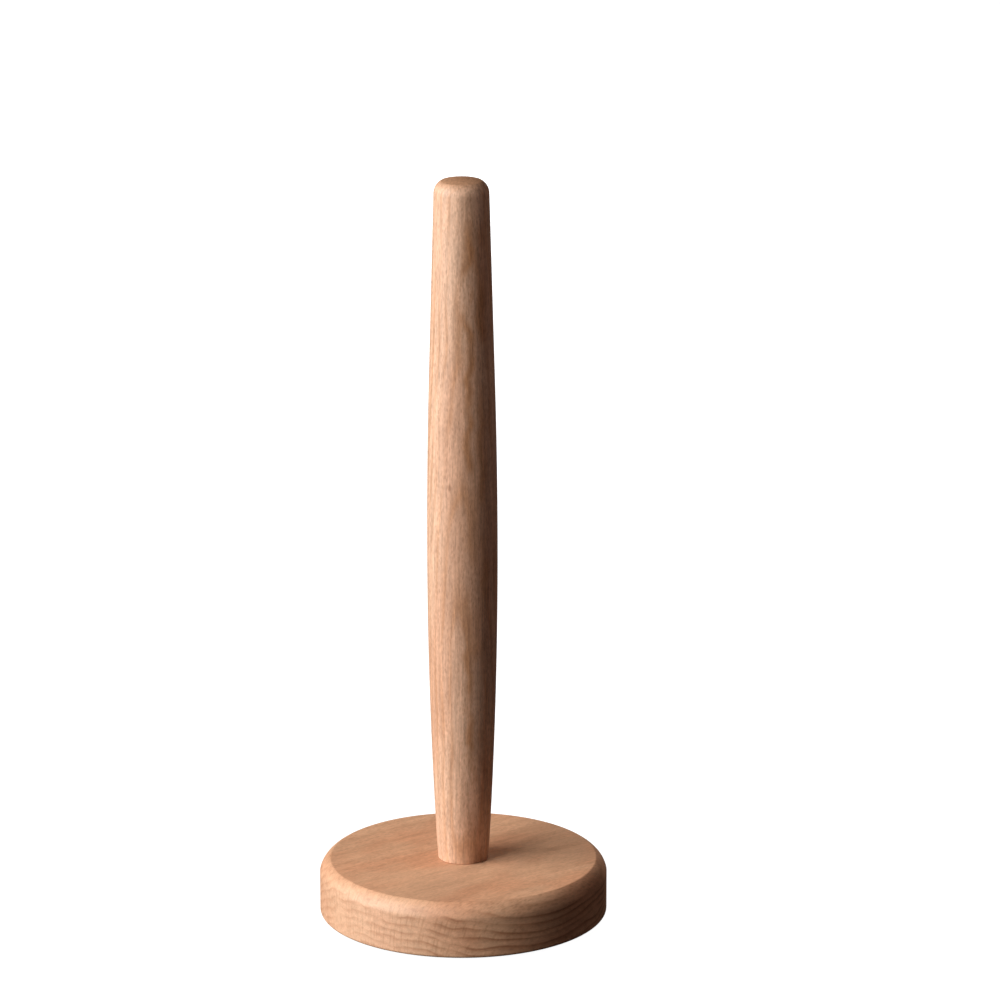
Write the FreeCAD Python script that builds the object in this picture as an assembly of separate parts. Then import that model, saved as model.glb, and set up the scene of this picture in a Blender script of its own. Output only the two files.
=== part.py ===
"""Free-standing paper towel holder turned from beech: a round base, a barrel-shaped post, the bolt that
joins them from below, and the non-slip pads.

Row frame, in millimetres: +Z up, origin on the table under the middle of the base. Everything is turned
about the Z axis except the pads, which sit on a circle around it.
"""
import FreeCAD
import Part
import math
import os
from FreeCAD import Vector

# Overall
OVERALL_HEIGHT = 315.0
BASE_RADIUS = 60.0
BASE_THICKNESS = 23.0

# Non-slip pads, stuck under the base
PAD_COUNT = 4
PAD_RADIUS = 7.0
PAD_THICKNESS = 1.5
PAD_EDGE_RADIUS = 0.4
PAD_CIRCLE_RADIUS = 44.0
FIRST_PAD_ANGLE = 45.0

# Edges of the base: a rounded bevel that meets the flat top at a crease, and a small foot radius
BEVEL_WIDTH = 4.4
BEVEL_DROP = 5.7
BEVEL_START_SLOPE = 27.0
FOOT_EDGE_RADIUS = 1.2

# Outline of the post: narrow foot, belly below mid-height, straight taper to the top
POST_FOOT_RADIUS = 10.5
POST_BELLY_RADIUS = 14.55
POST_BELLY_HEIGHT = 158.0
POST_UPPER_ARC_RADIUS = 2600.0
POST_TOP_RADIUS = 11.2
POST_FOOT_EDGE_RADIUS = 0.5
POST_DOME_RADIUS = 32.0
POST_DOME_EDGE_RADIUS = 8.3
POST_BEVEL_DROP = 4.85
POST_BEVEL_START_SLOPE = 28.0

# Threads: a ridge's widths at its root and crest are shares of the pitch
RIDGE_OVERLAP = 0.15
BOLT_RIDGE_SHARES = (0.8, 0.2)
INSERT_RIDGE_SHARES = (0.5, 0.08)
INSERT_GROOVE_SHARES = (0.9, 0.3)

# M6 socket-head bolt and its washer
BOLT_MAJOR_RADIUS = 2.95
BOLT_ROOT_RADIUS = 2.42
BOLT_PITCH = 1.0
BOLT_LENGTH = 30.0
BOLT_PLAIN_LENGTH = 5.0
BOLT_POINT_LENGTH = 0.6
BOLT_POINT_RADIUS = 2.1
HEAD_RADIUS = 5.0
HEAD_HEIGHT = 6.0
HEAD_EDGE_RADIUS = 0.5
SOCKET_ACROSS_FLATS = 5.0
SOCKET_DEPTH = 3.2
WASHER_RADIUS = 9.0
WASHER_HOLE_RADIUS = 3.2
WASHER_THICKNESS = 1.6
WASHER_EDGE_RADIUS = 0.25

# Holes for the bolt in the base
COUNTERBORE_RADIUS = 10.0
COUNTERBORE_DEPTH = 10.0
CLEARANCE_HOLE_RADIUS = 3.3
HOLE_CHAMFER = 0.5

# Screw-in insert in the foot of the post
INSERT_LENGTH = 15.0
INSERT_BODY_RADIUS = 4.15
INSERT_THREAD_RADIUS = 5.0
INSERT_THREAD_PITCH = 2.5
INSERT_SINK = 0.5
INSERT_DRIVE_ACROSS_FLATS = 6.2
INSERT_DRIVE_DEPTH = 3.0
INSERT_BORE_RADIUS = 2.52
INSERT_GROOVE_RADIUS = 3.05
PILOT_HOLE_RADIUS = 5.05
PILOT_HOLE_DEPTH = 18.0
PILOT_POINT_ANGLE = 118.0

AXIS = Vector(0, 0, 1)
ORIGIN = Vector(0, 0, 0)

# Heights worked out from the sizes above
underside = PAD_THICKNESS
base_top = underside + BASE_THICKNESS
counterbore_top = underside + COUNTERBORE_DEPTH
washer_bottom = counterbore_top - WASHER_THICKNESS
head_top = washer_bottom
insert_bottom = base_top + INSERT_SINK


def point(radius, height):
    """A point of an outline, which is drawn in the XZ plane."""
    return Vector(radius, 0, height)


def line(a, b):
    return Part.LineSegment(a, b).toShape()


def arc(a, middle, b):
    return Part.Arc(a, middle, b).toShape()


def arc_about(centre, a, b):
    """The arc from a to b, at their distance from centre, along the shorter way."""
    radius = (a - centre).Length
    middle = centre + ((a - centre) + (b - centre)).normalize() * radius
    return arc(a, middle, b)


def bevel_arc(start, end, start_slope):
    """The arc that falls outwards from start to end and begins at that slope below level."""
    run, drop = end.x - start.x, start.z - end.z
    chord_slope = math.atan2(drop, run)
    half_turn = chord_slope - math.radians(start_slope)
    radius = math.hypot(run, drop) / (2 * math.sin(half_turn))
    outward = point(math.sin(chord_slope), math.cos(chord_slope))
    middle = (start + end) / 2 + outward * radius * (1 - math.cos(half_turn))
    return arc(start, middle, end)


def turned(edges):
    """The solid that an outline of edges, closed on the Z axis, makes when it is turned."""
    face = Part.Face(Part.Wire(edges))
    return face.revolve(ORIGIN, AXIS, 360)


def cylinder(radius, bottom, top):
    return Part.makeCylinder(radius, top - bottom, point(0, bottom), AXIS)


def cone(bottom_radius, top_radius, bottom, top):
    return Part.makeCone(bottom_radius, top_radius, top - bottom, point(0, bottom), AXIS)


def hexagon(across_flats, bottom, top):
    """A hexagonal prism standing on the plane z = bottom."""
    corner = across_flats / math.sqrt(3)
    turns = [math.radians(60 * i) for i in range(7)]
    corners = [Vector(corner * math.cos(t), corner * math.sin(t), bottom) for t in turns]
    return Part.Face(Part.makePolygon(corners)).extrude(AXIS * (top - bottom))


def circles_at(solid, height, radius):
    """The round edges of solid at that height and radius."""
    return [
        edge
        for edge in solid.Edges
        if not edge.Degenerated
        and isinstance(edge.Curve, Part.Circle)
        and abs(edge.Curve.Center.z - height) < 1e-4
        and abs(edge.Curve.Radius - radius) < 1e-4
    ]


def helical_ridge(root, crest, pitch, bottom, top, shares):
    """A thread ridge that starts a little inside the root radius and reaches out to the crest."""
    helix = Part.makeLongHelix(pitch, top - bottom, root)
    helix.translate(point(0, bottom))
    half_root, half_crest = [pitch * share / 2 for share in shares]
    corners = [
        point(root - RIDGE_OVERLAP, bottom - half_root),
        point(crest, bottom - half_crest),
        point(crest, bottom + half_crest),
        point(root - RIDGE_OVERLAP, bottom + half_root),
    ]
    outline = Part.makePolygon(corners + corners[:1])
    sweep = Part.BRepOffsetAPI.MakePipeShell(helix)
    sweep.setFrenetMode(True)
    sweep.add(outline)
    sweep.build()
    sweep.makeSolid()
    return sweep.shape()


def base_disc():
    """The turned disc, with the counterbore and clearance hole for the bolt."""
    bevel_inside = point(BASE_RADIUS - BEVEL_WIDTH, base_top)
    bevel_outside = point(BASE_RADIUS, base_top - BEVEL_DROP)
    foot_centre = point(BASE_RADIUS - FOOT_EDGE_RADIUS, underside + FOOT_EDGE_RADIUS)
    foot_outside = point(BASE_RADIUS, underside + FOOT_EDGE_RADIUS)
    foot_inside = point(BASE_RADIUS - FOOT_EDGE_RADIUS, underside)
    disc = turned(
        [
            line(point(0, underside), point(0, base_top)),
            line(point(0, base_top), bevel_inside),
            bevel_arc(bevel_inside, bevel_outside, BEVEL_START_SLOPE),
            line(bevel_outside, foot_outside),
            arc_about(foot_centre, foot_outside, foot_inside),
            line(foot_inside, point(0, underside)),
        ]
    )
    mouth_radius = COUNTERBORE_RADIUS + HOLE_CHAMFER
    holes = [
        cylinder(CLEARANCE_HOLE_RADIUS, underside, base_top),
        cylinder(COUNTERBORE_RADIUS, underside, counterbore_top),
        cone(mouth_radius, COUNTERBORE_RADIUS, underside, underside + HOLE_CHAMFER),
    ]
    for hole in holes:
        disc = disc.cut(hole)
    return disc


def post_outline():
    """An arc from foot to belly, a long arc over it, a taper, a bevel and a shallow dome.

    POST_TOP_RADIUS is what the taper would reach at the full height if there were no bevel.
    """
    foot = point(POST_FOOT_RADIUS, base_top)
    belly = point(POST_BELLY_RADIUS, POST_BELLY_HEIGHT)
    top = point(POST_TOP_RADIUS, OVERALL_HEIGHT)

    rise = POST_BELLY_HEIGHT - base_top
    swell = POST_BELLY_RADIUS - POST_FOOT_RADIUS
    lower_radius = (rise**2 + swell**2) / (2 * swell)
    lower_centre = point(POST_BELLY_RADIUS - lower_radius, POST_BELLY_HEIGHT)

    upper_centre = point(POST_BELLY_RADIUS - POST_UPPER_ARC_RADIUS, POST_BELLY_HEIGHT)
    to_top = top - upper_centre
    bearing = math.atan2(to_top.z, to_top.x) - math.acos(POST_UPPER_ARC_RADIUS / to_top.Length)
    tangent = upper_centre + point(math.cos(bearing), math.sin(bearing)) * POST_UPPER_ARC_RADIUS

    apex = point(0, OVERALL_HEIGHT)
    dome_centre = point(0, OVERALL_HEIGHT - POST_DOME_RADIUS)
    dome_edge_rise = math.sqrt(POST_DOME_RADIUS**2 - POST_DOME_EDGE_RADIUS**2)
    dome_edge = point(POST_DOME_EDGE_RADIUS, dome_centre.z + dome_edge_rise)
    bevel_depth = OVERALL_HEIGHT - dome_edge.z + POST_BEVEL_DROP
    bevel_outside = top + (tangent - top) * (bevel_depth / (top.z - tangent.z))

    return [
        line(point(0, base_top), foot),
        arc_about(lower_centre, foot, belly),
        arc_about(upper_centre, belly, tangent),
        line(tangent, bevel_outside),
        bevel_arc(dome_edge, bevel_outside, POST_BEVEL_START_SLOPE),
        arc_about(dome_centre, dome_edge, apex),
        line(apex, point(0, base_top)),
    ]


def post():
    """The turned post, with the drilled hole that takes the insert."""
    solid = turned(post_outline())
    foot_edge = circles_at(solid, base_top, POST_FOOT_RADIUS)
    solid = solid.makeFillet(POST_FOOT_EDGE_RADIUS, foot_edge)
    hole_top = base_top + PILOT_HOLE_DEPTH
    drill_point = PILOT_HOLE_RADIUS / math.tan(math.radians(PILOT_POINT_ANGLE / 2))
    solid = solid.cut(cylinder(PILOT_HOLE_RADIUS, base_top, hole_top))
    return solid.cut(cone(PILOT_HOLE_RADIUS, 0, hole_top, hole_top + drill_point))


def bolt_head():
    """The cylindrical head, with its hexagon socket and the drill point at the socket's floor."""
    head_bottom = head_top - HEAD_HEIGHT
    socket_floor = head_bottom + SOCKET_DEPTH
    drill_radius = SOCKET_ACROSS_FLATS / 2
    head = cylinder(HEAD_RADIUS, head_bottom, head_top)
    head = head.makeFillet(HEAD_EDGE_RADIUS, circles_at(head, head_bottom, HEAD_RADIUS))
    head = head.cut(hexagon(SOCKET_ACROSS_FLATS, head_bottom, socket_floor))
    return head.cut(cone(drill_radius, 0, socket_floor, socket_floor + drill_radius / 2))


def post_bolt():
    """The M6 bolt, head down, with a real helical thread and a chamfered point."""
    thread_bottom = head_top + BOLT_PLAIN_LENGTH
    tip = head_top + BOLT_LENGTH
    point_bottom = tip - BOLT_POINT_LENGTH
    shank = cylinder(BOLT_MAJOR_RADIUS, head_top, thread_bottom)
    core = cylinder(BOLT_ROOT_RADIUS, thread_bottom, tip)
    ridge = helical_ridge(
        BOLT_ROOT_RADIUS,
        BOLT_MAJOR_RADIUS,
        BOLT_PITCH,
        thread_bottom - BOLT_PITCH / 2,
        tip,
        BOLT_RIDGE_SHARES,
    )
    room = cylinder(HEAD_RADIUS, thread_bottom, point_bottom)
    room = room.fuse(cone(BOLT_MAJOR_RADIUS, BOLT_POINT_RADIUS, point_bottom, tip))
    thread = core.fuse(ridge).common(room)
    return bolt_head().fuse(shank).fuse(thread).removeSplitter()


def flat_washer():
    """The wide washer between the bolt's head and the floor of the counterbore."""
    ring = cylinder(WASHER_RADIUS, washer_bottom, counterbore_top)
    lower_edge = circles_at(ring, washer_bottom, WASHER_RADIUS)
    ring = ring.makeFillet(WASHER_EDGE_RADIUS, lower_edge)
    return ring.cut(cylinder(WASHER_HOLE_RADIUS, washer_bottom, counterbore_top))


def threaded_insert():
    """The screw-in nut: coarse wood thread outside, hexagon drive at its mouth, M6 thread inside."""
    top = insert_bottom + INSERT_LENGTH
    drive_top = insert_bottom + INSERT_DRIVE_DEPTH
    body = cylinder(INSERT_BODY_RADIUS, insert_bottom, top)
    ridge = helical_ridge(
        INSERT_BODY_RADIUS,
        INSERT_THREAD_RADIUS,
        INSERT_THREAD_PITCH,
        insert_bottom - INSERT_THREAD_PITCH / 2,
        top + INSERT_THREAD_PITCH / 2,
        INSERT_RIDGE_SHARES,
    )
    body = body.fuse(ridge).common(cylinder(PILOT_HOLE_RADIUS, insert_bottom, top))
    body = body.cut(hexagon(INSERT_DRIVE_ACROSS_FLATS, insert_bottom, drive_top))
    body = body.cut(cylinder(INSERT_BORE_RADIUS, insert_bottom, top))

    # The groove keeps in step with the bolt's ridge, so it starts a whole number of turns above it
    bolt_thread_start = head_top + BOLT_PLAIN_LENGTH - BOLT_PITCH / 2
    turns_below = math.floor((drive_top - bolt_thread_start) / BOLT_PITCH) - 1
    groove = helical_ridge(
        INSERT_BORE_RADIUS,
        INSERT_GROOVE_RADIUS,
        BOLT_PITCH,
        bolt_thread_start + turns_below * BOLT_PITCH,
        top + BOLT_PITCH,
        INSERT_GROOVE_SHARES,
    )
    return body.cut(groove)


def pad(index):
    """One round non-slip pad, under the base."""
    turn = math.radians(FIRST_PAD_ANGLE + index * 360 / PAD_COUNT)
    solid = cylinder(PAD_RADIUS, 0, PAD_THICKNESS)
    solid = solid.makeFillet(PAD_EDGE_RADIUS, circles_at(solid, 0, PAD_RADIUS))
    solid.translate(Vector(math.cos(turn), math.sin(turn), 0) * PAD_CIRCLE_RADIUS)
    return solid


def write(name, solid):
    """Writes one sub-part and prints its facts."""
    solids = solid.Solids
    if len(solids) != 1 or not solids[0].isValid():
        raise RuntimeError(f"{name} has {len(solids)} solids, or isn't valid")
    solids[0].exportStep(f"parts/{name}.step")
    print(f"{name}: {solids[0].Volume:.1f} mm3")


def main():
    os.makedirs("parts", exist_ok=True)
    write("base_disc", base_disc())
    write("post", post())
    write("threaded_insert", threaded_insert())
    write("post_bolt", post_bolt())
    write("flat_washer", flat_washer())
    for index in range(PAD_COUNT):
        write(f"non_slip_pad_{index + 1}", pad(index))


main()
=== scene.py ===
"""The looks of the paper towel holder: turned beech base and post, zinc-plated bolt and rubber pads.

Everything is in metres in the frame that the CAD uses: +Z up, and the origin on the table under the
middle of the base.
"""
import bpy
import math
from mathutils import Euler, Matrix, Vector


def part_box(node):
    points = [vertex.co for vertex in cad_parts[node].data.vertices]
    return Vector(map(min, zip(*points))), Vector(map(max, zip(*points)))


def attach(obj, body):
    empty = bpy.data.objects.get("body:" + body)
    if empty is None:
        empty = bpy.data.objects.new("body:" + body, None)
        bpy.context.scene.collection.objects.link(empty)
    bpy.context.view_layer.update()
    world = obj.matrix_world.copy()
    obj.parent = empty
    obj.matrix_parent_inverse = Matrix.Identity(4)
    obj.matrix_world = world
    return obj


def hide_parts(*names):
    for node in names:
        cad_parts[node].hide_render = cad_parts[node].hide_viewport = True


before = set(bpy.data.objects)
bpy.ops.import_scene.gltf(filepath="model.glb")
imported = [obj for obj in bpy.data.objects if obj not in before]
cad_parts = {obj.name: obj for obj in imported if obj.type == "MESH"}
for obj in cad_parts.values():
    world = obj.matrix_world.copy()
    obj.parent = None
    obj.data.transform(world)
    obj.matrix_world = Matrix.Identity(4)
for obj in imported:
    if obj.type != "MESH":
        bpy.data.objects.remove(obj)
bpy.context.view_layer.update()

MM = 0.001

# Camera: a long lens, well back and above, turned a little off the axis
CAMERA_DISTANCE = 2.2
CAMERA_HEIGHT = 0.81114
CAMERA_DIP = 0.27955
CAMERA_TURN = 0.00704
CAMERA_ROLL = -0.00095
CAMERA_LENS = 200.57
CAMERA_SENSOR = 36.0
CAMERA_REACH = 50.0

# Shapes, where the frame's boxes don't give them
BEVEL_WIDTH = 4.4 * MM
BEVEL_DROP = 5.7 * MM
BEVEL_START_SLOPE = math.radians(27)
BASE_FOOT_RADIUS = 1.2 * MM
COUNTERBORE_RADIUS = 10.0 * MM
COUNTERBORE_DEPTH = 10.0 * MM
COUNTERBORE_CHAMFER = 0.5 * MM
BOLT_HOLE_RADIUS = 3.3 * MM
POST_FOOT_RADIUS = 10.5 * MM
POST_BELLY_HEIGHT = 158.0 * MM
POST_UPPER_ARC = 2.6
POST_TOP_RADIUS = 11.2 * MM
POST_DOME_RADIUS = 32.0 * MM
POST_DOME_EDGE_RADIUS = 8.3 * MM
POST_BEVEL_DROP = 4.85 * MM
POST_BEVEL_START_SLOPE = math.radians(28)
POST_FOOT_EDGE = 0.5 * MM
POST_DOME_START = 0.95  # share of the dome's edge slope where its arc begins, which rounds the crease
UPPER_STEPS = 40
HOLE_ROOF = 0.05 * MM
CREASE_SOFTNESS = 0.4 * MM
MIDDLE_RADIUS = 2.0 * MM
SEGMENTS = 224
SHARP_EDGE = math.radians(30)
FLOOR_HALF_WIDTH = 6.0

base_low, base_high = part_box("base_disc")
post_low, post_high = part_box("post")
BASE_RADIUS = base_high.x
POST_BELLY_RADIUS = post_high.x


# ---------------------------------------------------------------- outlines and meshes


def on_circle(centre, radius, angle):
    """The (radius, height) point at an angle, from the outward direction, on an outline's arc."""
    return (centre[0] + radius * math.cos(angle), centre[1] + radius * math.sin(angle))


def arc(centre, radius, start, end, count):
    """count + 1 points along an arc, both ends included."""
    return [on_circle(centre, radius, start + (end - start) * i / count) for i in range(count + 1)]


def straight(a, b, count):
    """Points from a towards b, without b itself."""
    return [(a[0] + (b[0] - a[0]) * i / count, a[1] + (b[1] - a[1]) * i / count) for i in range(count)]


def turned(name, outline):
    """A closed mesh made by turning an outline whose first and last points lie on the Z axis."""
    turns = [2 * math.pi * i / SEGMENTS for i in range(SEGMENTS)]
    inner = outline[1:-1]
    points = [Vector((0, 0, outline[0][1]))]
    for radius, height in inner:
        points += [Vector((radius * math.cos(t), radius * math.sin(t), height)) for t in turns]
    points.append(Vector((0, 0, outline[-1][1])))
    last = len(points) - 1
    top_ring = 1 + (len(inner) - 1) * SEGMENTS
    faces = []
    for i in range(SEGMENTS):
        j = (i + 1) % SEGMENTS
        faces.append((0, 1 + j, 1 + i))
        faces.append((last, top_ring + i, top_ring + j))
        for k in range(len(inner) - 1):
            low, high = 1 + k * SEGMENTS, 1 + (k + 1) * SEGMENTS
            faces.append((low + i, low + j, high + j, high + i))
    mesh = bpy.data.meshes.new(name)
    mesh.from_pydata(points, [], faces)
    mesh.shade_smooth()
    mesh.set_sharp_from_angle(angle=SHARP_EDGE)
    piece = bpy.data.objects.new(name, mesh)
    bpy.context.scene.collection.objects.link(piece)
    return piece


def bevel(start, end, start_slope, count):
    """Points of the arc that falls outwards from start to end and begins at that slope below level."""
    run, drop = end[0] - start[0], start[1] - end[1]
    chord_slope = math.atan2(drop, run)
    half_turn = chord_slope - start_slope
    radius = math.hypot(run, drop) / (2 * math.sin(half_turn))
    centre = (
        start[0] - radius * math.sin(start_slope),
        start[1] - radius * math.cos(start_slope),
    )
    bearing = math.pi / 2 - start_slope
    return arc(centre, radius, bearing, bearing - 2 * half_turn, count)


def base_outline():
    """From the bolt hole's roof out along the underside, up the wall and in over the bevel and the top.

    The CAD's hole goes right through. Here a thin roof closes it under the post, where it can't be seen.
    """
    bottom, top = base_low.z, base_high.z
    floor = bottom + COUNTERBORE_DEPTH
    mouth = (COUNTERBORE_RADIUS + COUNTERBORE_CHAMFER, bottom)
    bore_foot = (COUNTERBORE_RADIUS, bottom + COUNTERBORE_CHAMFER)
    foot_centre = (BASE_RADIUS - BASE_FOOT_RADIUS, bottom + BASE_FOOT_RADIUS)
    crease = (BASE_RADIUS - BEVEL_WIDTH, top)
    wall_top = (BASE_RADIUS, top - BEVEL_DROP)
    roof = top - HOLE_ROOF
    points = [(0, roof), (BOLT_HOLE_RADIUS, roof)]
    points += straight((BOLT_HOLE_RADIUS, floor), (COUNTERBORE_RADIUS, floor), 3)
    points += straight((COUNTERBORE_RADIUS, floor), bore_foot, 4)
    points += straight(bore_foot, mouth, 1)
    points += straight(mouth, (foot_centre[0], bottom), 20)
    points += arc(foot_centre, BASE_FOOT_RADIUS, -math.pi / 2, 0, 8)
    points += straight((BASE_RADIUS, foot_centre[1] + CREASE_SOFTNESS), wall_top, 12)
    points += bevel(crease, wall_top, BEVEL_START_SLOPE, 20)[::-1]
    points += straight((crease[0] - CREASE_SOFTNESS, top), (MIDDLE_RADIUS, top), 24)
    points += [(0, top)]
    return points


def post_outline():
    """From the foot's middle out, up over the belly, and in over the bevel and the shallow dome.

    The hole for the insert is left out, because the base hides it.
    """
    foot, top = post_low.z, post_high.z
    rise = POST_BELLY_HEIGHT - foot
    swell = POST_BELLY_RADIUS - POST_FOOT_RADIUS
    lower_arc = (rise**2 + swell**2) / (2 * swell)
    lower_centre = (POST_BELLY_RADIUS - lower_arc, POST_BELLY_HEIGHT)
    upper_centre = (POST_BELLY_RADIUS - POST_UPPER_ARC, POST_BELLY_HEIGHT)
    reach = (POST_TOP_RADIUS - upper_centre[0], top - upper_centre[1])
    bearing = math.atan2(reach[1], reach[0]) - math.acos(POST_UPPER_ARC / math.hypot(*reach))
    tangent = on_circle(upper_centre, POST_UPPER_ARC, bearing)
    dome_centre = (0, top - POST_DOME_RADIUS)
    dome_edge_slope = math.asin(POST_DOME_EDGE_RADIUS / POST_DOME_RADIUS)
    dome_edge = on_circle(dome_centre, POST_DOME_RADIUS, math.pi / 2 - dome_edge_slope)
    share = (top - dome_edge[1] + POST_BEVEL_DROP) / (top - tangent[1])
    bevel_outside = (
        POST_TOP_RADIUS + (tangent[0] - POST_TOP_RADIUS) * share,
        dome_edge[1] - POST_BEVEL_DROP,
    )
    foot_edge_share = 1 - POST_FOOT_EDGE / rise
    foot_bearing = -math.asin(rise * foot_edge_share / lower_arc)
    foot_edge_top = on_circle(lower_centre, lower_arc, foot_bearing)
    foot_edge_centre = (foot_edge_top[0] - POST_FOOT_EDGE, foot + POST_FOOT_EDGE)
    dome_start = math.pi / 2 - POST_DOME_START * dome_edge_slope
    points = [(0, foot)]
    points += straight((MIDDLE_RADIUS, foot), (foot_edge_centre[0], foot), 4)
    points += arc(foot_edge_centre, POST_FOOT_EDGE, -math.pi / 2, 0, 5)[:-1]
    points += arc(lower_centre, lower_arc, foot_bearing, 0, 60)
    # The lower arc already ends at the belly, so the upper one begins a step further on
    points += arc(upper_centre, POST_UPPER_ARC, bearing / UPPER_STEPS, bearing, UPPER_STEPS - 1)
    points += straight(tangent, bevel_outside, 30)[1:]
    points += bevel(dome_edge, bevel_outside, POST_BEVEL_START_SLOPE, 18)[::-1]
    points += arc(dome_centre, POST_DOME_RADIUS, dome_start, math.pi / 2, 12)
    return points


# ---------------------------------------------------------------- shader helpers


def new_material(name):
    """An empty material's node tree, with its Principled shader linked to the output."""
    material = bpy.data.materials.new(name)
    material.use_nodes = True
    tree = material.node_tree
    tree.nodes.clear()
    shader = tree.nodes.new("ShaderNodeBsdfPrincipled")
    output = tree.nodes.new("ShaderNodeOutputMaterial")
    tree.links.new(shader.outputs["BSDF"], output.inputs["Surface"])
    return material, tree, shader


def add(tree, kind, inputs, **settings):
    """Adds one shader node. inputs maps sockets to numbers, vectors or other nodes' sockets."""
    made = tree.nodes.new("ShaderNode" + kind)
    for name, value in settings.items():
        setattr(made, name, value)
    for key, value in inputs.items():
        if isinstance(value, bpy.types.NodeSocket):
            tree.links.new(value, made.inputs[key])
        else:
            made.inputs[key].default_value = value
    return made


def calc(tree, operation, a, b=0.0):
    """One step of arithmetic on single numbers."""
    return add(tree, "Math", {0: a, 1: b}, operation=operation).outputs[0]


def blend_colour(tree, factor, a, b, mode="MIX"):
    """Colour a, with b mixed in by factor."""
    mix = add(tree, "Mix", {0: factor, 6: a, 7: b}, data_type="RGBA", blend_type=mode)
    return mix.outputs[2]


def scaled(tree, vector, factors):
    """A vector with each of its parts multiplied by its own factor."""
    return add(tree, "VectorMath", {0: vector, 1: factors}, operation="MULTIPLY").outputs[0]


def noise(tree, vector, detail=2.0, roughness=0.5):
    """Noise from 0 to 1 in the vector's own units."""
    inputs = {"Vector": vector, "Scale": 1.0, "Detail": detail, "Roughness": roughness}
    return add(tree, "TexNoise", inputs).outputs["Fac"]


def stretch(tree, value, low, high):
    """0 where value is at or under low, 1 at or over high, smooth between. With low over high it falls."""
    inputs = {"Value": value, "From Min": low, "From Max": high, "To Min": 0.0, "To Max": 1.0}
    made = add(tree, "MapRange", inputs, interpolation_type="SMOOTHSTEP")
    return made.outputs["Result"]


def bump(tree, height, distance):
    """Relief of that real height in metres."""
    inputs = {"Height": height, "Distance": distance, "Strength": 1.0}
    return add(tree, "Bump", inputs).outputs["Normal"]


# ---------------------------------------------------------------- beech

# Noise cycles per metre: twice across the fibres, then along them
LONG_SWAY_CYCLES = (28, 28, 7)
SHORT_SWAY_CYCLES = (45, 45, 34)
UNEVEN_YEAR_CYCLES = (120, 120, 120)
RING_PATCH_CYCLES = (150, 150, 30)
GRIT_CYCLES = (1300, 1300, 520)
FIBRE_CYCLES = (2600, 2600, 110)
PORE_CYCLES = (4200, 4200, 420)

# Rings: how uneven the years are, and (share of the year, darkness) from early wood to late
UNEVEN_YEARS = 1.3
EARLY_WOOD = 0.12
YEAR_PROFILE = ((0.30, EARLY_WOOD), (0.60, 0.50), (0.82, 1.0), (0.93, 0.50))
FAINTEST_RING = 0.35
END_GRAIN_SHARPNESS = 3.0

# Limits for stretch: the values where each thing begins and is at its full strength
RING_PATCH_LIMITS = (0.30, 0.62)
LEVEL_FACE_LIMITS = (0.1, 0.8)
RAY_LIMITS = (0.62, 0.30)
RAY_CHANCE_LIMITS = (0.20, 0.75)
PORE_LIMITS = (0.58, 0.78)
WARM_LIMITS = (0.35, 0.65)
SPOT_LIMITS = (1.0, 0.25)
FLAME_PATCH_LIMITS = (0.36, 0.62)

# Surface
PORE_DEPTH = 0.22
SHADE_LOW = 0.3
SHADE_HIGH = 0.7
SPECULAR = 0.55
ROUGHNESS = 0.48
ROUGHER_FIBRE = 0.14
SMOOTHER_RAY = -0.06
RELIEF = 0.05 * MM
FIBRE_RELIEF = 0.5
PORE_RELIEF = 0.6
RING_RELIEF = 0.15
RAY_RELIEF = 0.25

# Flames: how they waver and break up along the post, and how softly they begin and end
WAVER_CYCLES = (0, 0, 55)
FLAME_PATCH_CYCLES = (80, 0, 42)
FRONT_DEPTH = 6 * MM
FLAME_START = 30 * MM
FLAME_END = 20 * MM


def grain_space(tree, pith, grain_axis, lean):
    """Position with the tree's pith at the origin and the fibres along its Z axis, in metres."""
    place = add(tree, "TexCoord", {}).outputs["Object"]
    from_pith = add(tree, "VectorMath", {0: place, 1: pith}, operation="SUBTRACT").outputs[0]
    upright = Vector(grain_axis).to_track_quat("Z", "Y").to_euler().to_matrix().to_4x4().inverted()
    turn = (Matrix.Rotation(lean, 4, "X") @ upright).to_euler()
    inputs = {"Vector": from_pith, "Rotation": turn}
    return add(tree, "VectorRotate", inputs, rotation_type="EULER_XYZ").outputs[0]


def swayed(tree, grain, cycles, size):
    """The same place moved sideways within a span of that size, as no stem is a perfect cylinder."""
    sway = add(tree, "TexNoise", {"Vector": scaled(tree, grain, cycles), "Scale": 1.0, "Detail": 1.0})
    sway = add(tree, "VectorMath", {0: sway.outputs["Color"], 1: (0.5, 0.5, 0.5)}, operation="SUBTRACT")
    sway = scaled(tree, sway.outputs[0], (size, size, 0.0))
    return add(tree, "VectorMath", {0: grain, 1: sway}, operation="ADD").outputs[0]


def ring_shade(tree, wood, flat, radius, ring_width):
    """Low in pale early wood, and up to 1 on each year's dark line, which fades in and out."""
    years = calc(tree, "DIVIDE", radius, ring_width)
    uneven = noise(tree, scaled(tree, flat, UNEVEN_YEAR_CYCLES), detail=1.0)
    years = calc(tree, "ADD", years, calc(tree, "MULTIPLY", uneven, UNEVEN_YEARS))
    ramp = add(tree, "ValToRGB", {"Fac": calc(tree, "FRACT", years)})
    ends = ramp.color_ramp.elements
    for end, position in zip(ends, (0.0, 1.0)):
        end.position = position
        end.color = (EARLY_WOOD, EARLY_WOOD, EARLY_WOOD, 1)
    for position, level in YEAR_PROFILE:
        ends.new(position).color = (level, level, level, 1)
    broken = noise(tree, scaled(tree, wood, RING_PATCH_CYCLES), detail=1.0)
    patches = stretch(tree, broken, *RING_PATCH_LIMITS)
    strength = add(tree, "MapRange", {"Value": patches, "To Min": FAINTEST_RING}).outputs["Result"]
    return calc(tree, "MULTIPLY", ramp.outputs["Color"], strength)


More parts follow.
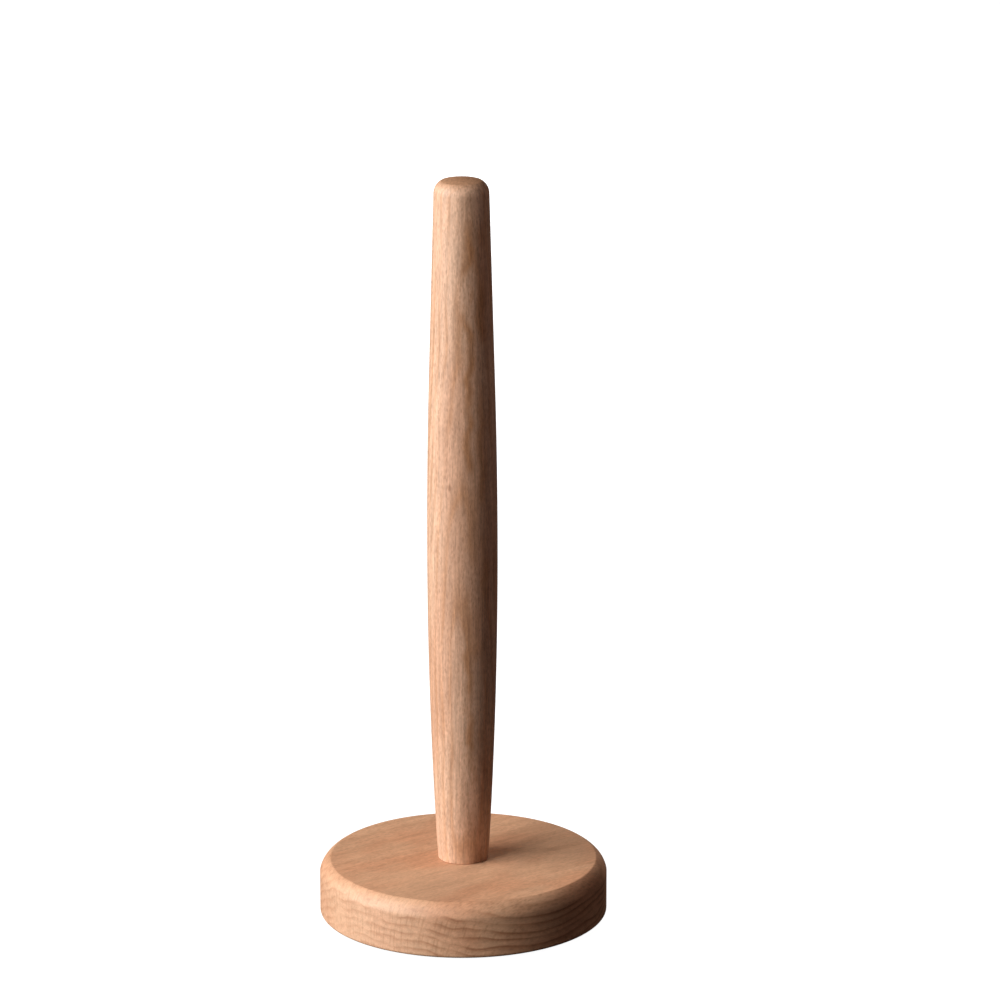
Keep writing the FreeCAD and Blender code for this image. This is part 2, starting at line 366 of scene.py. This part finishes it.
def ray_shade(tree, radius, angle, along, typical_radius, size):
    """1 on the rays, thin plates along the radii. size is their radial, sideways and lengthwise size."""
    cell = add(
        tree,
        "CombineXYZ",
        {
            0: calc(tree, "DIVIDE", radius, size[0]),
            1: calc(tree, "MULTIPLY", angle, typical_radius / size[1]),
            2: calc(tree, "DIVIDE", along, size[2]),
        },
    ).outputs[0]
    cells = add(tree, "TexVoronoi", {"Vector": cell, "Scale": 1.0, "Randomness": 1.0})
    chance = add(tree, "SeparateColor", {0: cells.outputs["Color"]}).outputs[0]
    ray = stretch(tree, cells.outputs["Distance"], *RAY_LIMITS)
    return calc(tree, "MULTIPLY", ray, stretch(tree, chance, *RAY_CHANCE_LIMITS))


def facing(tree, direction):
    """1 where the surface looks straight along that direction or away from it, 0 where it's side-on."""
    normal = add(tree, "TexCoord", {}).outputs["Normal"]
    share = add(tree, "VectorMath", {0: normal, 1: direction}, operation="DOT_PRODUCT").outputs["Value"]
    return calc(tree, "ABSOLUTE", share)


def faded(tree, value, where, share):
    """value, but only that share of it where the second input is 1."""
    kept = add(tree, "MapRange", {"Value": where, "To Min": 1.0, "To Max": share}).outputs["Result"]
    return calc(tree, "MULTIPLY", value, kept)


def beech(name, pith, grain_axis, lean, look, marks_and_painted_shade=(), flames=()):
    """Solid beech: growth rings round the pith, ray flecks that lie along the radii, and fine fibres.

    A surface shows what its cut through the solid shows. look is one of the tables below. Specks, painted
    shade and flames are inputs for spot and flame, which lay single darker places over that one by one.
    """
    material, tree, shader = new_material(name)
    grain = grain_space(tree, pith, grain_axis, lean)
    wood = swayed(tree, grain, LONG_SWAY_CYCLES, look["long_sway"])
    wood = swayed(tree, wood, SHORT_SWAY_CYCLES, look["short_sway"])
    axes = add(tree, "SeparateXYZ", {0: wood})
    across, deep, along = axes.outputs[0], axes.outputs[1], axes.outputs[2]
    flat = add(tree, "CombineXYZ", {0: across, 1: deep, 2: 0.0}).outputs[0]
    radius = add(tree, "VectorMath", {0: flat}, operation="LENGTH").outputs["Value"]
    angle = calc(tree, "ARCTAN2", deep, across)

    ring = ring_shade(tree, wood, flat, radius, look["ring_width"])
    ray = ray_shade(tree, radius, angle, along, pith.length, look["ray_size"])
    ends = calc(tree, "POWER", facing(tree, grain_axis), END_GRAIN_SHARPNESS)
    ring = faded(tree, ring, ends, look["ring_share_on_ends"])
    level = stretch(tree, facing(tree, (0.0, 0.0, 1.0)), *LEVEL_FACE_LIMITS)
    ring = faded(tree, ring, level, look["ring_share_on_top"])
    drift = noise(tree, scaled(tree, grain, look["drift"]), detail=2.0)
    streak = noise(tree, scaled(tree, grain, look["streak"]), detail=3.0, roughness=0.6)
    grit = noise(tree, scaled(tree, grain, GRIT_CYCLES), detail=2.0)
    fibre = noise(tree, scaled(tree, grain, FIBRE_CYCLES), detail=2.0, roughness=0.6)
    pore = stretch(tree, noise(tree, scaled(tree, grain, PORE_CYCLES), detail=1.0), *PORE_LIMITS)

    colour = blend_colour(tree, stretch(tree, drift, *WARM_LIMITS), look["light"], look["warm"])
    colour = blend_colour(tree, calc(tree, "MULTIPLY", ends, look["end_depth"]), colour, look["end_tint"])
    colour = blend_colour(tree, calc(tree, "MULTIPLY", ring, look["ring_depth"]), colour, look["late"])
    colour = blend_colour(tree, calc(tree, "MULTIPLY", ray, look["ray_depth"]), colour, look["fleck_and_shade"])
    # Dark specks in the wood, and painted shade, in the fleck colour
    for dark_place in marks_and_painted_shade:
        colour = blend_colour(tree, spot(tree, *dark_place), colour, look["fleck_and_shade"])
    for flame_inputs in flames:
        colour = blend_colour(tree, flame(tree, *flame_inputs), colour, look["late"])
    shades = ((streak, "streak_depth"), (grit, "grit_depth"), (fibre, "fibre_depth"))
    for grey, depth_name in shades:
        depth = look[depth_name]
        inputs = {"Value": grey, "From Min": SHADE_LOW, "From Max": SHADE_HIGH}
        inputs.update({"To Min": 1.0 - depth, "To Max": 1.0 + depth})
        shade = add(tree, "MapRange", inputs)
        colour = blend_colour(tree, 1.0, colour, shade.outputs["Result"], mode="MULTIPLY")
    colour = blend_colour(tree, calc(tree, "MULTIPLY", pore, PORE_DEPTH), colour, look["fleck_and_shade"])
    tree.links.new(colour, shader.inputs["Base Color"])

    rough_ray = calc(tree, "MULTIPLY", ray, SMOOTHER_RAY)
    rough = calc(tree, "ADD", rough_ray, calc(tree, "MULTIPLY", fibre, ROUGHER_FIBRE))
    tree.links.new(calc(tree, "ADD", rough, ROUGHNESS), shader.inputs["Roughness"])
    shader.inputs["Specular IOR Level"].default_value = SPECULAR
    height = calc(tree, "MULTIPLY", fibre, FIBRE_RELIEF)
    height = calc(tree, "SUBTRACT", height, calc(tree, "MULTIPLY", pore, PORE_RELIEF))
    height = calc(tree, "ADD", height, calc(tree, "MULTIPLY", ring, RING_RELIEF))
    height = calc(tree, "SUBTRACT", height, calc(tree, "MULTIPLY", ray, RAY_RELIEF))
    tree.links.new(bump(tree, height, RELIEF), shader.inputs["Normal"])
    return material


def spot(tree, centre, size, strength):
    """How much of a small dark place there is, for specks in the wood and for painted shade: an ellipsoid
    of those half sizes that fades outwards.
    """
    place = add(tree, "TexCoord", {}).outputs["Object"]
    offset = add(tree, "VectorMath", {0: place, 1: centre}, operation="SUBTRACT").outputs[0]
    offset = add(tree, "VectorMath", {0: offset, 1: size}, operation="DIVIDE").outputs[0]
    apart = add(tree, "VectorMath", {0: offset}, operation="LENGTH").outputs["Value"]
    return calc(tree, "MULTIPLY", stretch(tree, apart, *SPOT_LIMITS), strength)


def flame(tree, offset, sway, half_width, heights, strength):
    """How much of a wavering dark line there is up the post's front, that far right of its middle."""
    place = add(tree, "TexCoord", {}).outputs["Object"]
    axes = add(tree, "SeparateXYZ", {0: place})
    across, deep, height = axes.outputs[0], axes.outputs[1], axes.outputs[2]
    along = add(tree, "CombineXYZ", {2: height}).outputs[0]
    waver = calc(tree, "SUBTRACT", noise(tree, scaled(tree, along, WAVER_CYCLES), detail=2.0), 0.5)
    path = calc(tree, "ADD", calc(tree, "MULTIPLY", waver, sway), offset)
    apart = calc(tree, "ABSOLUTE", calc(tree, "SUBTRACT", across, path))
    line = stretch(tree, apart, half_width, 0.0)
    broken = noise(tree, scaled(tree, place, FLAME_PATCH_CYCLES), detail=1.0)
    patches = stretch(tree, broken, *FLAME_PATCH_LIMITS)
    front = stretch(tree, deep, 0.0, -FRONT_DEPTH)
    below = stretch(tree, height, heights[0], heights[0] + FLAME_START)
    above = stretch(tree, height, heights[1], heights[1] - FLAME_END)
    span = calc(tree, "MULTIPLY", below, above)
    amount = calc(tree, "MULTIPLY", calc(tree, "MULTIPLY", line, patches), span)
    return calc(tree, "MULTIPLY", calc(tree, "MULTIPLY", amount, front), strength)


BASE_LOOK = {
    "light": (0.652, 0.378, 0.226, 1),
    "warm": (0.625, 0.324, 0.186, 1),
    "late": (0.350, 0.150, 0.072, 1),
    "fleck_and_shade": (0.290, 0.125, 0.058, 1),
    "ring_width": 3.1 * MM,
    "ring_depth": 1.0,
    "ring_share_on_ends": 0.38,
    "ring_share_on_top": 0.22,
    "ray_size": (9 * MM, 0.6 * MM, 2.2 * MM),
    "ray_depth": 0.25,
    "long_sway": 9 * MM,
    "short_sway": 1.2 * MM,
    "drift": (46, 46, 30),
    "streak": (480, 480, 60),
    "streak_depth": 0.10,
    "grit_depth": 0.08,
    "fibre_depth": 0.05,
    "end_tint": (0.640, 0.420, 0.290, 1),
    "end_depth": 0.45,
}
POST_LOOK = {
    "light": (0.640, 0.408, 0.279, 1),
    "warm": (0.590, 0.343, 0.225, 1),
    "late": (0.420, 0.190, 0.080, 1),
    # The fleck colour also paints the shade at the post's foot
    "fleck_and_shade": (0.320, 0.160, 0.090, 1),
    "ring_width": 2.7 * MM,
    "ring_depth": 0.58,
    "ring_share_on_ends": 0.3,
    "ring_share_on_top": 0.3,
    "ray_size": (3.5 * MM, 0.5 * MM, 2.0 * MM),
    "ray_depth": 0.32,
    "long_sway": 9 * MM,
    "short_sway": 2.6 * MM,
    "drift": (60, 60, 14),
    "streak": (900, 900, 44),
    "streak_depth": 0.19,
    "grit_depth": 0.11,
    "fibre_depth": 0.08,
    "end_tint": (0.420, 0.190, 0.080, 1),
    "end_depth": 0.65,
}


def base_beech():
    """Flat-sawn, with end grain on the wall's front left and long grain on its front right."""
    direction = math.radians(38)
    grain_axis = (math.cos(direction), math.sin(direction), 0.0)
    pith = Vector((6, -14, -95)) * MM
    return beech("beech_base", pith, grain_axis, math.radians(1.2), BASE_LOOK)


def post_beech():
    """The pith lies behind the post. The specks, the flames and a patch of painted shade at the foot on
    its front are placed one by one.
    """
    bearing = math.radians(12)
    pith = Vector((-math.sin(bearing), math.cos(bearing), 0)) * 46 * MM
    marks_and_painted_shade = (
        ((-5.2 * MM, -13.2 * MM, 188.5 * MM), (1.0 * MM, 1.5 * MM, 2.4 * MM), 0.85),
        ((10.3 * MM, -9.8 * MM, 143 * MM), (0.8 * MM, 1.5 * MM, 7.5 * MM), 0.6),
        # Painted shade: darker at the foot's front right, where the post meets the base
        ((6.2 * MM, -8.4 * MM, 25 * MM), (5.5 * MM, 4.0 * MM, 10 * MM), 0.85),
    )
    flames = (
        (2.8 * MM, 13 * MM, 2.9 * MM, (50 * MM, 306 * MM), 0.80),
        (8.0 * MM, 9 * MM, 3.2 * MM, (50 * MM, 312 * MM), 0.65),
    )
    return beech("beech_post", pith, (0.0, 0.0, 1.0), math.radians(1.4), POST_LOOK, marks_and_painted_shade, flames)


# ---------------------------------------------------------------- metal and rubber

TURNING_CYCLES = 9000.0
MOTTLE_CYCLES = (900, 900, 900)
DULL_SHARE = 0.72
DULL_LIMITS = (0.35, 0.7)
MOTTLED_ROUGHNESS = 0.25
TURNING_RELIEF = 0.01 * MM
PEBBLE_CYCLES = 1600.0
DUST_CYCLES = (260, 260, 260)
DUST_LIMITS = (0.45, 0.8)
RUBBER = (0.018, 0.017, 0.016, 1)
DUSTY_RUBBER = (0.06, 0.056, 0.05, 1)
RUBBER_ROUGHNESS = 0.62
DUST_ROUGHNESS = 0.2
PEBBLE_RELIEF = 0.06 * MM


def plated_steel(name, tint, roughness):
    """Zinc plating: a fine mottled metal with faint turning marks round the axis."""
    material, tree, shader = new_material(name)
    place = add(tree, "TexCoord", {}).outputs["Object"]
    axes = add(tree, "SeparateXYZ", {0: place})
    flat = add(tree, "CombineXYZ", {0: axes.outputs[0], 1: axes.outputs[1], 2: 0.0}).outputs[0]
    radius = add(tree, "VectorMath", {0: flat}, operation="LENGTH").outputs["Value"]
    grooves = calc(tree, "MULTIPLY", radius, TURNING_CYCLES)
    turning = add(tree, "CombineXYZ", {0: grooves, 1: axes.outputs[2]})
    turning = noise(tree, turning.outputs[0], detail=2.0)
    mottle = noise(tree, scaled(tree, place, MOTTLE_CYCLES), detail=4.0)
    dull = tuple(channel * DULL_SHARE for channel in tint[:3]) + (1,)
    colour = blend_colour(tree, stretch(tree, mottle, *DULL_LIMITS), tint, dull)
    tree.links.new(colour, shader.inputs["Base Color"])
    shader.inputs["Metallic"].default_value = 1.0
    rough = calc(tree, "ADD", calc(tree, "MULTIPLY", mottle, MOTTLED_ROUGHNESS), roughness)
    tree.links.new(rough, shader.inputs["Roughness"])
    tree.links.new(bump(tree, turning, TURNING_RELIEF), shader.inputs["Normal"])
    return material


def pad_rubber():
    """Matt charcoal rubber, finely pebbled, with a little dust."""
    material, tree, shader = new_material("pad_rubber")
    place = add(tree, "TexCoord", {}).outputs["Object"]
    pebbles = add(tree, "TexVoronoi", {"Vector": place, "Scale": PEBBLE_CYCLES}).outputs["Distance"]
    dust = noise(tree, scaled(tree, place, DUST_CYCLES), detail=5.0)
    colour = blend_colour(tree, stretch(tree, dust, *DUST_LIMITS), RUBBER, DUSTY_RUBBER)
    tree.links.new(colour, shader.inputs["Base Color"])
    rough = calc(tree, "ADD", calc(tree, "MULTIPLY", dust, DUST_ROUGHNESS), RUBBER_ROUGHNESS)
    tree.links.new(rough, shader.inputs["Roughness"])
    tree.links.new(bump(tree, pebbles, PEBBLE_RELIEF), shader.inputs["Normal"])
    return material


def cover(piece, material):
    """Gives every face of a piece that material."""
    if not piece.material_slots:
        piece.data.materials.append(material)
    for slot in piece.material_slots:
        slot.material = material


# ---------------------------------------------------------------- pieces


def make_base():
    """The base, as a finer mesh in place of the CAD's."""
    piece = turned("turned_base", base_outline())
    cover(piece, base_beech())
    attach(piece, "root")
    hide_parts("base_disc")


def make_post():
    """The post, as a finer mesh in place of the CAD's."""
    piece = turned("turned_post", post_outline())
    cover(piece, post_beech())
    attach(piece, "root")
    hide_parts("post")


def finish_hardware():
    """Better materials for the CAD's own bolt, washer, insert and pads."""
    bolt = plated_steel("plated_bolt", (0.62, 0.63, 0.65, 1), 0.22)
    washer = plated_steel("plated_washer", (0.66, 0.66, 0.66, 1), 0.30)
    insert = plated_steel("zinc_insert", (0.58, 0.57, 0.55, 1), 0.38)
    cover(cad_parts["post_bolt"], bolt)
    cover(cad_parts["flat_washer"], washer)
    cover(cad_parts["threaded_insert"], insert)
    rubber = pad_rubber()
    for name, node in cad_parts.items():
        if name.startswith("non_slip_pad"):
            cover(node, rubber)


# ---------------------------------------------------------------- studio

KEY_TINT = (1.0, 0.97, 0.94)
FILL_TINT = (1.0, 0.78, 0.74)
GLOW_TINT = (1.0, 0.78, 0.68, 1)
GLOW_STRENGTH = 0.015
FLOOR_GREY = (0.30, 0.30, 0.30, 1)
FLOOR_EMISSION = 0.98
WHITE = (1, 1, 1, 1)


def area_light(name, azimuth, elevation, distance, width, height, power, tint=(1.0, 1.0, 1.0), aim=0.12):
    """A softbox aimed at the holder. Azimuth 0 is on the camera's side and 90 is to its right."""
    turn, rise = math.radians(azimuth), math.radians(elevation)
    level = math.cos(rise)
    away = Vector((math.sin(turn) * level, -math.cos(turn) * level, math.sin(rise)))
    data = bpy.data.lights.new(name, "AREA")
    data.shape = "RECTANGLE"
    data.size, data.size_y = width, height
    data.energy = power
    data.color = tint
    lamp = bpy.data.objects.new(name, data)
    lamp.location = Vector((0, 0, aim)) + away * distance
    lamp.rotation_euler = away.to_track_quat("Z", "Y").to_euler()
    bpy.context.scene.collection.objects.link(lamp)
    return lamp


def make_floor():
    """A nearly white floor that doesn't light the wood, and takes next to no shadow."""
    mesh = bpy.data.meshes.new("studio_floor")
    half = FLOOR_HALF_WIDTH
    corners = [(-half, -half, 0), (half, -half, 0), (half, half, 0), (-half, half, 0)]
    mesh.from_pydata(corners, [], [(0, 1, 2, 3)])
    floor = bpy.data.objects.new("studio_floor", mesh)
    bpy.context.scene.collection.objects.link(floor)
    material, _, shader = new_material("pale_floor")
    shader.inputs["Base Color"].default_value = FLOOR_GREY
    shader.inputs["Roughness"].default_value = 1.0
    shader.inputs["Specular IOR Level"].default_value = 0.0
    shader.inputs["Emission Color"].default_value = WHITE
    shader.inputs["Emission Strength"].default_value = FLOOR_EMISSION
    mesh.materials.append(material)
    floor.visible_diffuse = False
    floor.visible_glossy = False


def make_world():
    """White where the camera sees it, and only a faint warm glow for everything it lights."""
    world = bpy.data.worlds.new("studio_world")
    world.use_nodes = True
    tree = world.node_tree
    tree.nodes.clear()
    seen = add(tree, "LightPath", {}).outputs["Is Camera Ray"]
    glow = add(tree, "Background", {"Color": GLOW_TINT, "Strength": GLOW_STRENGTH})
    white = add(tree, "Background", {"Color": WHITE, "Strength": 1.0})
    both = add(tree, "MixShader", {0: seen, 1: glow.outputs[0], 2: white.outputs[0]})
    output = add(tree, "OutputWorld", {"Surface": both.outputs[0]})
    output.is_active_output = True
    bpy.context.scene.world = world


def make_studio():
    """A big softbox at the left, and two smaller fills that leave no reflections of their own."""
    make_floor()
    make_world()
    area_light("key_left", -68.5, 24, 2.2, 2.2, 1.9, 112, KEY_TINT)
    fills = (
        area_light("fill_right", 70, 22, 0.5, 0.3, 0.3, 0.30, FILL_TINT, aim=0.215),
        area_light("fill_back", 168, 6, 2.0, 0.6, 0.5, 34),
    )
    for lamp in fills:
        lamp.visible_glossy = False
    bpy.context.scene.view_settings.view_transform = "Standard"


def make_camera():
    """The camera, with no shift and no depth of field."""
    data = bpy.data.cameras.new("camera")
    data.sensor_width = CAMERA_SENSOR
    data.lens = CAMERA_LENS
    data.clip_end = CAMERA_REACH
    camera = bpy.data.objects.new("camera", data)
    camera.location = (0, -CAMERA_DISTANCE, CAMERA_HEIGHT)
    level = Euler((math.pi / 2 - CAMERA_DIP, 0, -CAMERA_TURN)).to_matrix().to_4x4()
    camera.rotation_euler = (level @ Matrix.Rotation(CAMERA_ROLL, 4, "Z")).to_euler()
    bpy.context.scene.collection.objects.link(camera)
    bpy.context.scene.camera = camera


make_camera()
make_base()
make_post()
finish_hardware()
make_studio()
